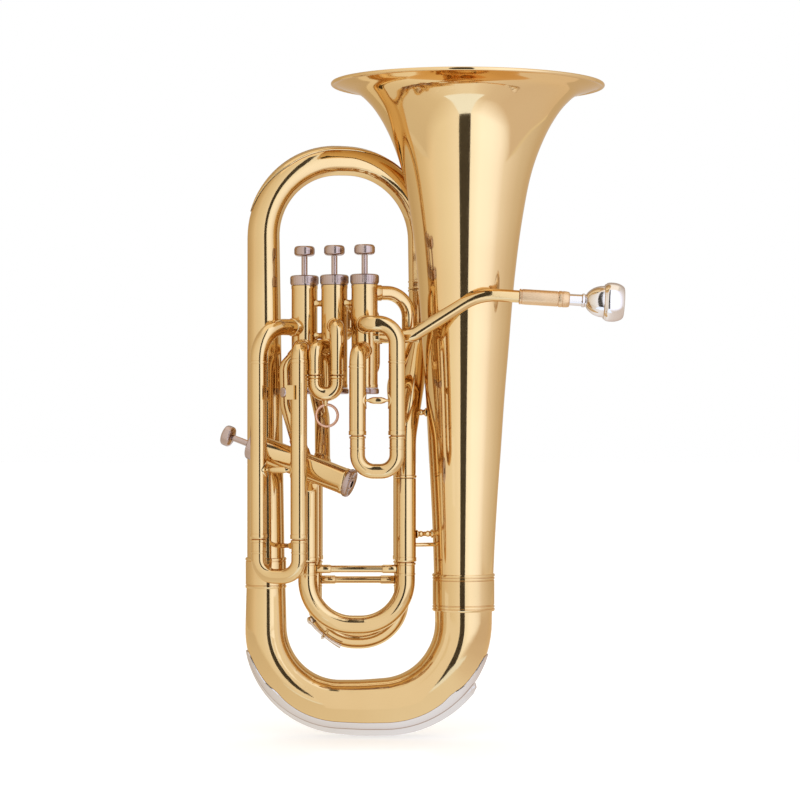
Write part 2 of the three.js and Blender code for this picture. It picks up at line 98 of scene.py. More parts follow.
studio = bpy.data.worlds.new("studio")
scene.world = studio
studio.use_nodes = True
tree = studio.node_tree
room = tree.nodes["Background"]
room.inputs["Color"].default_value = (1.0, 0.97, 0.93, 1)
room.inputs["Strength"].default_value = 0.88
paper = tree.nodes.new("ShaderNodeBackground")
paper.inputs["Color"].default_value = (1, 1, 1, 1)
paper.inputs["Strength"].default_value = 1.0
seen = tree.nodes.new("ShaderNodeLightPath")
either = tree.nodes.new("ShaderNodeMixShader")
tree.links.new(seen.outputs["Is Camera Ray"], either.inputs["Fac"])
tree.links.new(room.outputs["Background"], either.inputs[1])
tree.links.new(paper.outputs["Background"], either.inputs[2])
tree.links.new(either.outputs["Shader"], tree.nodes["World Output"].inputs["Surface"])


def plain_material(name, colour, roughness, emission=0.0):
    mat = bpy.data.materials.new(name)
    mat.use_nodes = True
    shader = mat.node_tree.nodes["Principled BSDF"]
    shader.inputs["Base Color"].default_value = (*colour, 1)
    shader.inputs["Roughness"].default_value = roughness
    shader.inputs["Specular IOR Level"].default_value = 0.2
    if emission:
        shader.inputs["Emission Color"].default_value = (1, 1, 1, 1)
        shader.inputs["Emission Strength"].default_value = emission
    return mat


def card(name, corners, mat):
    mesh = bpy.data.meshes.new(name)
    mesh.from_pydata([world(c) for c in corners], [], [(0, 1, 2, 3)])
    obj = bpy.data.objects.new(name, mesh)
    obj.data.materials.append(mat)
    scene.collection.objects.link(obj)
    return obj


FLOOR_Z = -ORIGIN.z / MM - 0.05    # just under the horn's lowest point
FLOOR_HALF = 12000
PAPER_Z = FLOOR_Z - 2              # what only reflections see lies just below the floor
SWEEP_Z = FLOOR_Z - 1
WALL_FOOT = -3
WALL_TOP = 2400
floor = card("floor", [(-FLOOR_HALF, -FLOOR_HALF, FLOOR_Z), (FLOOR_HALF, -FLOOR_HALF, FLOOR_Z),
                       (FLOOR_HALF, FLOOR_HALF, FLOOR_Z), (-FLOOR_HALF, FLOOR_HALF, FLOOR_Z)],
             plain_material("floor_white", (0.93, 0.93, 0.925), 0.6, 0.3))
floor.visible_glossy = False


def only_reflected(obj):
    obj.visible_camera = False
    obj.visible_diffuse = False
    obj.visible_shadow = False
    obj.visible_transmission = False


def flag(name, x0, x1, y, z0, z1, shade):
    """A dark studio flag between the walls and the horn, which only reflections see."""
    only_reflected(card(name, [(x0, y, z0), (x1, y, z0), (x1, y, z1), (x0, y, z1)],
                        plain_material(name + "_cloth", (shade, shade, shade), 0.9)))


WALL_Y = -560
FLAG_X = (-78, 104)
flag("front_flag", *FLAG_X, WALL_Y + 4, WALL_FOOT, WALL_TOP, 0.07)

# lit walls round the horn: where each stretch stands and how bright it glows there
WALLS = [(0, 1500, (0.62, 0.56, 0.50)), (-1500, 1500, (0.64, 0.57, 0.47)),
         (-1500, 300, (0.78, 0.70, 0.58)), (-1500, -200, (0.88, 0.82, 0.72)),
         (-1300, WALL_Y, (1.0, 0.96, 0.92)), (-640, WALL_Y, (1.01, 1.02, 1.03)),
         (-356, WALL_Y, (1.06, 1.09, 1.12)), (-257, WALL_Y, (1.08, 1.12, 1.2)),
         (-78, WALL_Y, (1.15, 1.22, 1.38)), (104, WALL_Y, (1.26, 1.42, 1.75)),
         (287, WALL_Y, (1.4, 1.6, 2.1)), (516, WALL_Y, (1.36, 1.55, 2.05)),
         (823, WALL_Y, (1.27, 1.42, 1.85)), (1094, WALL_Y, (1.17, 1.26, 1.6)),
         (1500, WALL_Y, (1.05, 1.1, 1.3)), (1600, -100, (0.93, 0.93, 1.02)),
         (1600, 400, (0.82, 0.80, 0.82)), (1600, 1500, (0.70, 0.66, 0.66)),
         (0, 1500, (0.62, 0.56, 0.50))]


def glowing_material(name):
    mat = bpy.data.materials.new(name)
    mat.use_nodes = True
    nodes = mat.node_tree.nodes
    nodes.remove(nodes["Principled BSDF"])
    glow = nodes.new("ShaderNodeEmission")
    shade = nodes.new("ShaderNodeVertexColor")
    shade.layer_name = "glow"
    mat.node_tree.links.new(shade.outputs["Color"], glow.inputs["Color"])
    mat.node_tree.links.new(glow.outputs["Emission"], nodes["Material Output"].inputs["Surface"])
    return mat


def glowing(name, corners, faces, colours):
    """A sheet that glows with a colour at each corner, which only reflections see."""
    mesh = bpy.data.meshes.new(name)
    mesh.from_pydata([world(c) for c in corners], [], faces)
    layer = mesh.color_attributes.new("glow", "FLOAT_COLOR", "POINT")
    for spot, colour in zip(layer.data, colours):
        spot.color = (*colour, 1)
    obj = bpy.data.objects.new(name, mesh)
    mesh.materials.append(glowing_material(name + "_glow"))
    scene.collection.objects.link(obj)
    only_reflected(obj)


glowing("walls", [(x, y, z) for z in (WALL_FOOT, WALL_TOP) for x, y, _ in WALLS],
        [(i, i + 1, i + 1 + len(WALLS), i + len(WALLS)) for i in range(len(WALLS) - 1)],
        [colour for _ in range(2) for _, _, colour in WALLS])
# the paper that the horn stands on, as reflections see it: brightest under the bell
PAPER = [(-1300, (0.80, 0.76, 0.70)), (-640, (0.84, 0.80, 0.74)), (-356, (0.88, 0.85, 0.80)),
         (-257, (0.92, 0.90, 0.87)), (-78, (1.02, 1.05, 1.10)), (0, (1.06, 1.12, 1.24)),
         (104, (1.06, 1.12, 1.24)), (160, (0.98, 0.98, 1.04)), (287, (0.87, 0.83, 0.85)),
         (516, (0.82, 0.76, 0.76)), (1500, (0.80, 0.74, 0.74))]


def wall_glow(x):
    """Colour of the front wall at x."""
    front = [(wall_x, colour) for wall_x, wall_y, colour in WALLS if wall_y == WALL_Y]
    for (x0, c0), (x1, c1) in zip(front, front[1:]):
        if x <= x1:
            share = (x - x0) / (x1 - x0)
            return tuple(v0 + (v1 - v0) * share for v0, v1 in zip(c0, c1))
    return front[-1][1]


glowing("paper", [(x, y, PAPER_Z) for y in (WALL_Y, WALL_Y + 230, 1500) for x, _ in PAPER],
        [(row + i, row + i + 1, row + i + 1 + len(PAPER), row + i + len(PAPER))
         for row in (0, len(PAPER)) for i in range(len(PAPER) - 1)],
        [wall_glow(x) for x, _ in PAPER] + [colour for _ in range(2) for _, colour in PAPER])
# the bright end of the sweep in front, which the bell's flare looks down on
glowing("sweep_light",
        [(FLAG_X[0], WALL_Y + 8, SWEEP_Z), (FLAG_X[1], WALL_Y + 8, SWEEP_Z),
         (230, -250, SWEEP_Z), (-190, -250, SWEEP_Z)],
        [(0, 1, 2, 3)], [(1.15, 1.4, 1.9)] * 4)


FILL_GLOW = (1.1, 1.15, 1.27)


def fill_card(name, x0, x1, y, z0, z1):
    """Small bright card close to a bow, which keeps the dark flag out of its lowest run."""
    glowing(name, [(x0, y, z0), (x1, y, z0), (x1, y, z1), (x0, y, z1)], [(0, 1, 2, 3)],
            [FILL_GLOW] * 4)


fill_card("fill_bottom_bow", -88, 30, -105, 1, 112)
fill_card("fill_main_slide", -84, -6, -62, 40, 146)
fill_card("fill_third_slide", -38, -8, -135, 225, 300)
fill_card("fill_second_slide", -84, -69, -112, 318, 372)


def softbox(name, at, aim, width, height, radiance):
    data = bpy.data.lights.new(name, "AREA")
    data.shape = "RECTANGLE"
    data.size = width * MM
    data.size_y = height * MM
    data.energy = radiance * math.pi * width * height * MM * MM
    obj = bpy.data.objects.new(name, data)
    scene.collection.objects.link(obj)
    obj.location = world(at)
    facing = world(aim) - world(at)
    obj.rotation_euler = facing.to_track_quat("-Z", "Y").to_euler()
    obj.visible_camera = False


softbox("panel_top", (0, 0, 2700), (0, 0, 350), 2600, 2600, 0.35)


# ---- materials --------------------------------------------------------------------
class Nodes:
    """Short hand for one material's node tree."""

    def __init__(self, name):
        self.material = bpy.data.materials.new(name)
        self.material.use_nodes = True
        self.tree = self.material.node_tree
        self.shader = self.tree.nodes["Principled BSDF"]
        self.place = self.tree.nodes.new("ShaderNodeTexCoord").outputs["Object"]

    def add(self, kind, inputs=None, **settings):
        node = self.tree.nodes.new(kind)
        for key, value in settings.items():
            setattr(node, key, value)
        for key, value in (inputs or {}).items():
            if isinstance(value, bpy.types.NodeSocket):
                self.tree.links.new(value, node.inputs[key])
            else:
                node.inputs[key].default_value = value
        return node

    def noise(self, scale, detail, roughness=0.55):
        return self.add("ShaderNodeTexNoise", {
            "Vector": self.place, "Scale": scale, "Detail": detail,
            "Roughness": roughness}).outputs["Fac"]

    def ramp(self, factor, stops):
        node = self.add("ShaderNodeValToRGB", {"Fac": factor})
        elements = node.color_ramp.elements
        while len(elements) < len(stops):
            elements.new(0.5)
        for element, (position, colour) in zip(elements, stops):
            element.position = position
            element.color = (*colour, 1)
        return node.outputs["Color"]

    def span(self, factor, low_value, high_value):
        return self.add("ShaderNodeMapRange", {
            "Value": factor, "From Min": 0.3, "From Max": 0.7, "To Min": low_value,
            "To Max": high_value}).outputs["Result"]

    def bump(self, height, strength, distance):
        node = self.add("ShaderNodeBump", {
            "Height": height, "Strength": strength, "Distance": distance})
        self.tree.links.new(node.outputs["Normal"], self.shader.inputs["Normal"])

    def set(self, **inputs):
        for key, value in inputs.items():
            socket = self.shader.inputs[key.replace("_", " ")]
            if isinstance(value, bpy.types.NodeSocket):
                self.tree.links.new(value, socket)
            else:
                socket.default_value = value


def metal(name, dark, light, rough, ripple=0.05, coat=0.0, edge=(1, 1, 1)):
    """Polished metal: slow colour drift, smudges in the gloss and a faint hand-worked ripple.
    edge tints what is seen at a grazing angle."""
    n = Nodes(name)
    drift = n.noise(9, 2.0)
    smudge = n.noise(70, 4.0, 0.6)
    n.set(Base_Color=n.ramp(drift, [(0.3, dark), (0.7, light)]), Metallic=1.0,
          Roughness=n.span(smudge, *rough), Coat_Weight=coat, Coat_Roughness=0.06,
          Specular_Tint=(*edge, 1))
    n.bump(n.noise(26, 1.0, 0.4), ripple, 0.0006)
    return n.material


GOLD_EDGE = (1, 0.84, 0.6)
BRASS = metal("polished_brass", (0.68, 0.45, 0.195), (0.735, 0.505, 0.235), (0.06, 0.11), 0.05,
              0.1, GOLD_EDGE)
BELL_BRASS = metal("bell_brass", (0.755, 0.515, 0.24), (0.795, 0.56, 0.27), (0.05, 0.09), 0.04,
                   0.1, GOLD_EDGE)
ROSE_BRASS = metal("receiver_brass", (0.71, 0.46, 0.24), (0.77, 0.52, 0.28), (0.3, 0.38), 0.08,
                   0.0, GOLD_EDGE)
COPPER = metal("ring_copper", (0.66, 0.36, 0.22), (0.74, 0.43, 0.28), (0.16, 0.26), 0.08)
NICKEL = metal("satin_nickel", (0.41, 0.29, 0.235), (0.53, 0.395, 0.33), (0.14, 0.24), 0.1)
SILVER_EDGE = (0.78, 0.7, 0.66)
SILVER = metal("silver_plate_finish", (0.74, 0.65, 0.55), (0.80, 0.71, 0.61), (0.08, 0.15), 0.05,
               0.0, SILVER_EDGE)
GUARD_SILVER = metal("guard_silver", (0.65, 0.575, 0.505), (0.74, 0.665, 0.59), (0.1, 0.2), 0.1,
                     0.0, SILVER_EDGE)
STEEL = metal("spring_wire", (0.42, 0.42, 0.43), (0.52, 0.52, 0.53), (0.25, 0.38), 0.1)


def cork_material():
    n = Nodes("pressed_cork")
    grain = n.noise(900, 5.0, 0.7)
    n.set(Base_Color=n.ramp(grain, [(0.35, (0.07, 0.035, 0.018)), (0.65, (0.26, 0.15, 0.08))]),
          Roughness=0.85)
    n.bump(grain, 0.6, 0.0004)
    return n.material


CORK = cork_material()


# ---- geometry, in the drawing's millimetres -----------------------------------------
def route(corners, step=math.radians(6)):
    """Points along a bent rod: corners are (x, y, z) or (x, y, z, bend radius)."""
    points = []

    def push(p):
        if not points or (points[-1] - p).length > 0.05:
            points.append(p)

    for i, corner in enumerate(corners):
        p = Vector(corner[:3])
        if len(corner) < 4:
            push(p)
            continue
        radius = corner[3]
        a = (Vector(corners[i - 1][:3]) - p).normalized()
        b = (Vector(corners[i + 1][:3]) - p).normalized()
        turn = math.pi - a.angle(b)
        start = p + a * radius * math.tan(turn / 2)
        centre = p + (a + b).normalized() * radius / math.cos(turn / 2)
        arm = start - centre
        axis = b.cross(a).normalized()
        steps = max(3, math.ceil(turn / step))
        for k in range(steps + 1):
            push(Matrix.Rotation(turn * k / steps, 3, axis) @ arm + centre)
    return points


class Run:
    """A centre line that can be read at any distance along it."""

    def __init__(self, points):
        self.points = points
        self.at = [0.0]
        for a, b in zip(points, points[1:]):
            self.at.append(self.at[-1] + (b - a).length)
        self.length = self.at[-1]

    def point(self, s):
        s = min(max(s, 0.0), self.length)
        for i in range(1, len(self.at)):
            if s <= self.at[i] or i == len(self.at) - 1:
                t = (s - self.at[i - 1]) / (self.at[i] - self.at[i - 1])
                return self.points[i - 1].lerp(self.points[i], t)

    def tangent(self, s):
        return (self.point(s + 0.4) - self.point(s - 0.4)).normalized()

    def crossing(self, z, last=False):
        """Distance along at which the line passes height z."""
        found = [
            self.at[i] + (self.at[i + 1] - self.at[i]) * (z - a.z) / (b.z - a.z)
            for i, (a, b) in enumerate(zip(self.points, self.points[1:]))
            if (a.z - z) * (b.z - z) <= 0 and a.z != b.z]
        return found[-1 if last else 0]


def ring_frames(run, stations):
    frames = []
    side = None
    for s in stations:
        t = run.tangent(s)
        if side is None:
            side = Vector((1, 0, 0)) if abs(t.y) > 0.9 else Vector((0, 1, 0))
        side = (side - t * side.dot(t)).normalized()
        frames.append((run.point(s), t, side, t.cross(side)))
    return frames


def hoop(spot, radius, sides):
    p, _, side, up = spot
    return [p + side * radius * math.cos(2 * math.pi * k / sides)
            + up * radius * math.sin(2 * math.pi * k / sides) for k in range(sides)]


def skin(rings, closed=False):
    """Faces over rings of equal count: a closed loop of rings, or capped at both ends."""
    count = len(rings[0])
    verts = [p for ring in rings for p in ring]
    faces = []
    spans = len(rings) if closed else len(rings) - 1
    for i in range(spans):
        a = i * count
        b = (i + 1) % len(rings) * count
        for k in range(count):
            n = (k + 1) % count
            faces.append((a + k, a + n, b + n, b + k))
    if not closed:
        faces.append(tuple(range(count - 1, -1, -1)))
        faces.append(tuple(range((len(rings) - 1) * count, len(rings) * count)))
    return verts, faces


def onto_cylinder(p, t, cylinder):
    """p moved along t until it lies on the cylinder (point, axis, radius), nearest p."""
    base, axis, radius = cylinder
    m = (p - base) - axis * (p - base).dot(axis)
    d = t - axis * t.dot(axis)
    a = d.dot(d)
    b = 2 * m.dot(d)
    c = m.dot(m) - radius * radius
    root = b * b - 4 * a * c
    if root <= 0:
        return p
    roots = [(-b - math.sqrt(root)) / (2 * a), (-b + math.sqrt(root)) / (2 * a)]
    return p + t * min(roots, key=abs)


GROOVE = 0.3                       # depth of the groove on each side of a band
BAND_EDGE = 0.35                   # length over which a band's edge is rounded


def stations_for(run, bands, start, end, gap):
    """Distances along with the extra radius at each, from the path's points and its bands."""
    marks = [(s, 0.0) for s in run.at if start < s < end]
    marks += [(start, 0.0), (end, 0.0)]
    s = start
    while s < end:
        marks.append((s, 0.0))
        s += gap
    for low_s, high_s, lift in bands:
        marks = [m for m in marks if not low_s - 1 < m[0] < high_s + 1 or m[0] in (start, end)]
        marks += [(low_s, lift * 0.55), (low_s + BAND_EDGE, lift),
                  (high_s - BAND_EDGE, lift), (high_s, lift * 0.55)]
        for s, way in ((low_s, -1), (high_s, 1)):
            if start + 1 < s < end - 1:
                marks += [(s + 0.05 * way, -GROOVE), (s + 0.6 * way, -GROOVE), (s + 0.7 * way, 0.0)]
    marks.sort()
    kept = [marks[0]]
    for mark in marks[1:]:
        if mark[0] - kept[-1][0] > 0.015:
            kept.append(mark)
    return kept


def size_at(size, s):
    """A radius that is one number, or a function of the distance along."""
    return size(s) if callable(size) else size


# soldered collar round a tube's end: (lift above the tube, distance out from the valve's wall)
COLLAR = [(1.2, -0.25), (0.85, 0.7), (0.8, 4.6), (0.35, 5.1), (0.0, 5.15)]


def tube(run, radius, bore=None, sides=40, bands=(), start_on=None, end_on=None, gap=9.0):
    """Tube along a run. A band is (from, to, lift); start_on and end_on are valve cylinders
    that the end is fitted to, with a small soldered collar."""
    begin = start_on[3] if start_on else 0.0
    finish = run.length - (end_on[3] if end_on else 0.0)
    marks = stations_for(run, bands, begin, finish, gap)
    frames = ring_frames(run, [m[0] for m in marks])
    outer = [hoop(f, size_at(radius, s) + lift, sides) for f, (s, lift) in zip(frames, marks)]
    if bore is None:
        return skin(outer)
    inner = [hoop(f, size_at(bore, s), sides) for f, (s, _) in zip(frames, marks)]

    def fitted(fitting, spot, s):
        """Collar rings and the bore's end, all cut to the valve's wall."""
        base, axis, body_r, _ = fitting
        rings = []
        for lift, stand in COLLAR:
            rings.append([onto_cylinder(p, spot[1], (base, axis, body_r + stand))
                          for p in hoop(spot, size_at(radius, s) + lift, sides)])
        inside = [onto_cylinder(p, spot[1], (base, axis, body_r + COLLAR[0][1]))
                  for p in hoop(spot, size_at(bore, s), sides)]
        return rings, inside

    if start_on:
        rings, inside = fitted(start_on, frames[0], begin)
        outer = rings + outer[1:]
        inner = [inside] + inner[1:]
    if end_on:
        rings, inside = fitted(end_on, frames[-1], finish)
        outer = outer[:-1] + rings[::-1]
        inner = inner[:-1] + [inside]
    return skin(outer + inner[::-1], closed=True)


def turned(profile, base=(0, 0, 0), axis=(0, 0, 1), sides=56, flutes=0, depth=0.0, fluted=()):
    """Body of revolution from (radius, height) points; a profile that doesn't reach the axis
    closes on itself. Fluted names the points whose ring is scalloped."""
    axis = Vector(axis).normalized()
    side = Vector((1, 0, 0)) if abs(axis.x) < 0.9 else Vector((0, 1, 0))
    side = (side - axis * side.dot(axis)).normalized()
    up = axis.cross(side)
    rings = []
    for i, (radius, height) in enumerate(profile):
        ring = []
        for k in range(sides):
            angle = 2 * math.pi * k / sides
            r = radius
            if i in fluted:
                r -= depth * (0.5 - 0.5 * math.cos(flutes * angle))
            ring.append(Vector(base) + axis * height
                        + side * r * math.cos(angle) + up * r * math.sin(angle))
        rings.append(ring)
    return skin(rings, closed=True)


def merged(*parts):
    """Several closed bodies as one mesh."""
    verts = []
    faces = []
    for part_verts, part_faces in parts:
        offset = len(verts)
        verts += part_verts
        faces += [tuple(i + offset for i in face) for face in part_faces]
    return verts, faces


def piece(name, geometry, mat=BRASS, body="horn", nodes=(), sharp=42):
    """Object that rides on body and stands for nodes. Edges over sharp degrees stay hard."""
    mesh = bpy.data.meshes.new(name)
    verts, faces = geometry
    mesh.from_pydata([world(v) for v in verts], [], faces)
    bm = bmesh.new()
    bm.from_mesh(mesh)
    bmesh.ops.remove_doubles(bm, verts=bm.verts, dist=1e-7)
    bmesh.ops.dissolve_degenerate(bm, edges=bm.edges, dist=1e-7)
    bmesh.ops.recalc_face_normals(bm, faces=bm.faces)
    bm.to_mesh(mesh)
    bm.free()
    mesh.polygons.foreach_set("use_smooth", [True] * len(mesh.polygons))
    mesh.set_sharp_from_angle(angle=math.radians(sharp))
    mesh.materials.append(mat)
    obj = bpy.data.objects.new(name, mesh)
    scene.collection.objects.link(obj)
    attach(obj, body)
    if nodes:
        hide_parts(*nodes)
    return obj


SHEET = 0.8                        # wall of the tubing
GAP = 0.35                         # between pieces that meet face to face

# ---- bell -----------------------------------------------------------------------
BELL_FOOT = Vector((67, 0, 151.5))
LEAN = math.radians(0.47)
BELL_AXIS = Vector((math.sin(LEAN), 0, math.cos(LEAN)))
# height above the foot and outer radius
BELL_FLARE = [(0, 30.8), (53.5, 32.7), (103.5, 35.3), (154.5, 38.5), (205.5, 41.6),
              (255.5, 45.4), (331.5, 51.3), (394.5, 59), (445.5, 69), (483.5, 83.3),
              (505.5, 96), (516.5, 105), (525.5, 115.6), (530.5, 130), (534.5, 142.6)]
BELL_WALL = 1.2


def spline(knots, per_span):
    """Points on a smooth curve through (height, radius) knots."""
    out = []
    last = len(knots) - 1
    for i in range(last):
        p0, p1, p2, p3 = (Vector(knots[max(0, min(last, j))]) for j in (i - 1, i, i + 1, i + 2))
        d1 = max((p1 - p0).length, 1e-6) ** 0.5
        d2 = (p2 - p1).length ** 0.5
        d3 = max((p3 - p2).length, 1e-6) ** 0.5
        m1 = (p2 - p1) / d2 if i == 0 else ((p1 - p0) / d1 - (p2 - p0) / (d1 + d2)
                                             + (p2 - p1) / d2)
        m2 = (p2 - p1) / d2 if i == last - 1 else ((p2 - p1) / d2 - (p3 - p1) / (d2 + d3)
                                                    + (p3 - p2) / d3)
        m1 *= d2
        m2 *= d2
        for k in range(per_span):
            t = k / per_span
            out.append(p1 * (2 * t**3 - 3 * t**2 + 1) + m1 * (t**3 - 2 * t**2 + t)
                       + p2 * (-2 * t**3 + 3 * t**2) + m2 * (t**3 - t**2))
    out.append(Vector(knots[-1]))
    return out


flare = spline(BELL_FLARE, 7)
flare_out = []
flare_in = []
for i, p in enumerate(flare):
    before = flare[max(i - 1, 0)]
    after = flare[min(i + 1, len(flare) - 1)]
    t = (after - before).normalized()
    flare_out.append((p.y, p.x))
    flare_in.append((p.y - t.x * BELL_WALL, p.x + t.y * BELL_WALL))
RIM_R, RIM_Z = 142.5, 534.6
WIRE = 1.9
wire = [(RIM_R + WIRE * math.cos(a), RIM_Z + WIRE * math.sin(a))
        for a in (math.radians(d) for d in range(-130, 151, 20))]
bell_profile = flare_out[:-2] + wire + flare_in[:-2][::-1]
piece("bell_flare", turned(bell_profile, BELL_FOOT, BELL_AXIS, 144), BELL_BRASS,
      nodes=["bell"], sharp=50)


def bell_radius(height):
    return between(BELL_FLARE, height)


# ---- bows and branches --------------------------------------------------------------
BRANCH_X = -141.4
BOW_Z = 33
FINE_BEND = math.radians(4)
bow = Run(route([(BRANCH_X, 0, 171.15), (BRANCH_X, 0, BOW_Z + 3, 80), (-40, 0, BOW_Z, 300),
                 (BELL_FOOT.x, 0, BOW_Z + 4.5, 86), (BELL_FOOT.x, 0, 151)], FINE_BEND))


def bow_radius(s):
    return between([(0, 20.2), (0.5, 25.5), (0.8, 29.7), (1, 30.3)], s / bow.length)


piece("bottom_bow_tube", tube(bow, bow_radius, lambda s: bow_radius(s) - SHEET, 72),
      nodes=["bottom_bow"])

BRANCH = Run([Vector((BRANCH_X, 0, 171.5)), Vector((-142.7, 0, 347)), Vector((-144, 0, 524.4))])


def branch_radius(s):
    return 19.9 - 2.9 * s / BRANCH.length


piece("left_branch_tube",
      tube(BRANCH, branch_radius, lambda s: branch_radius(s) - SHEET, 64),
      nodes=["left_branch"])
piece("left_branch_ferrule_ring",
      turned([(20.3, 156), (21.3, 156), (21.7, 156.6), (21.7, 158.4), (20.9, 158.7),
              (20.9, 159.4), (21.4, 159.8), (21.4, 184.2), (20.9, 184.6), (20.9, 185.3),
              (21.7, 185.6), (21.7, 187.4), (21.1, 188), (20.1, 188)],
             (-141.45, 0, 0), (0, 0, 1), 64),
      nodes=["left_branch_ferrule"])
piece("bell_ferrule_ring",
      turned([(31.4, 132), (32.6, 132), (33.0, 132.6), (33.0, 134.4), (32.0, 134.7),
              (32.0, 135.4), (32.8, 135.7), (32.8, 137.4), (32.0, 137.7), (32.0, 138.4),
              (32.6, 138.8), (32.6, 164.2), (32.0, 164.6), (32.0, 165.3), (32.8, 165.6),
              (32.8, 167.3), (32.0, 167.6), (32.0, 168.3), (33.0, 168.6), (33.0, 170.4),
              (32.5, 171), (31.4, 171)], (67, 0, 0), (0, 0, 1), 80),
      nodes=["bell_ferrule"])

top_bow = Run(route([(-144, 0, 524.3), (-144, 0, 608, 82), (21.5, 52, 608, 82),
                     (21.5, 52, 473)], FINE_BEND))


def top_radius(s):
    return 17 - 4.8 * s / top_bow.length


leg_end = top_bow.length
piece("top_bow_tube",
      tube(top_bow, top_radius, lambda s: top_radius(s) - SHEET, 56,
           bands=[(leg_end - 9, leg_end - 6.8, 0.5), (leg_end - 2.4, leg_end - 0.2, 0.5)]),
      nodes=["top_bow"])

inner = Run(route([(21.5, 52, 472.65), (21.5, 52, 415, 30), (5.8, -12, 315, 30),
                   (5.8, -12, 272)]))


def inner_radius(s):
    return 12.2 - 1.4 * s / inner.length


piece("inner_branch_tube",
      tube(inner, inner_radius, lambda s: inner_radius(s) - SHEET, 48,
           bands=[(0.2, 2.4, 0.8), (inner.length - 3, inner.length - 0.5, 0.9)]),
      nodes=["inner_branch"])


# ---- wear strips ----------------------------------------------------------------------
PLATE_TOP = 1.5                    # what stands above this in a strip's section is its bead


def wear_strip(run, start, end, tube_radius, middle, half_width, bead, section):
    """Curved strip over a tube's outside. half_width gives degrees and bead a share of the full
    bead, both from the distances to the strip's start and end. section lists (share of half
    width, lift above the tube)."""
    rings = []
    steps = 130
    for i in range(steps + 1):
        s = start + (end - start) * i / steps
        p = run.point(s)
        t = run.tangent(s)
        away = p - Vector(middle)
        out = (away - t * away.dot(t)).normalized()
        across = t.cross(out).normalized()
        width = math.radians(half_width(s - start, end - s))
        full = bead(s - start, end - s)
        ring = []
        for across_share, lift in section:
            angle = across_share * width
            plate = min(lift, PLATE_TOP)
            r = tube_radius(s) + plate + (lift - plate) * full
            ring.append(p + out * r * math.cos(angle) + across * r * math.sin(angle))
        rings.append(ring)
    return skin(rings)


# half width in degrees at a distance from the guard's nearer end: tip, shoulders, waist
GUARD_EDGE = [(0, 3), (2.4, 22), (5, 27), (9, 31), (18, 36), (28, 40), (33, 43), (38, 48),
              (43, 51), (47, 51), (54, 48), (70, 46)]


def guard_width(from_start, to_end):
    return between(GUARD_EDGE, min(from_start, to_end))


GUARD_SECTION = [(-1, 0.1), (-0.985, 0.9), (-0.95, 1.1), (-0.5, 1.3), (-0.26, 1.4), (-0.235, 1.0),
                 (-0.215, 1.0), (-0.19, 2.6), (-0.165, 5.4), (-0.1, 7.2), (0, 7.6), (0.1, 7.2),
                 (0.165, 5.4), (0.19, 2.6), (0.215, 1.0), (0.235, 1.0), (0.26, 1.4), (0.5, 1.3),
                 (0.95, 1.1), (0.985, 0.9), (1, 0.1), (0.6, 0.1), (0, 0.1), (-0.6, 0.1)]


def guard_bead(from_start, to_end):
    """The bead grows from the left and ends in a step short of the right tip."""
    return between([(0, 0.1), (120, 1)], from_start) * between(
        [(0, 0), (24.5, 0), (27, 0.7), (32, 1)], to_end)


guard_from = bow.crossing(95.5)
guard_to = bow.crossing(95.5, last=True)
piece("bow_guard_plate",
      wear_strip(bow, guard_from, guard_to, bow_radius, (-37, 0, 118), guard_width, guard_bead,
                 GUARD_SECTION),
      GUARD_SILVER, nodes=["bow_guard"], sharp=35)

TOP_SECTION = [(-1, 0.3), (-0.97, 1.0), (-0.9, 1.3), (0, 1.5), (0.9, 1.3), (0.97, 1.0),
               (1, 0.3), (0, 0.2)]


def spindle_width(from_start, to_end):
    return 42 * min(1.0, 0.05 + min(from_start, to_end) / 58)


piece("top_guard_plate",
      wear_strip(top_bow, 24, 210, top_radius, (-62, 26, 480), spindle_width, lambda a, b: 1.0,
                 TOP_SECTION),
      nodes=["top_bow_guard"], sharp=60)

# ---- valves -------------------------------------------------------------------------
ROW_ANGLE = math.radians(25)
PITCH = 35
VALVES = [((VALVE_MIDDLE[0] + n * PITCH * math.cos(ROW_ANGLE),
            VALVE_MIDDLE[1] - n * PITCH * math.sin(ROW_ANGLE), 360), (0, 0, 1), 107.5)
          for n in (-1, 0, 1)]
FOURTH_FOOT = Vector((-49.6, -62, 267.2))
FOURTH_AXIS = Vector((-0.907, 0.243, 0.344)).normalized()
VALVES.append((FOURTH_FOOT, FOURTH_AXIS, 100.5))
CASING_R = 13.6
CASING_LOW = 6.55                  # casing's lower end above the bottom cap's foot
TOP_CAP = 10.4
STEM_SHOW = 20                     # stem between the cap and the button
PISTON_LENGTH = 66
PISTON_DROP = 2                    # piston's top below the casing's upper end

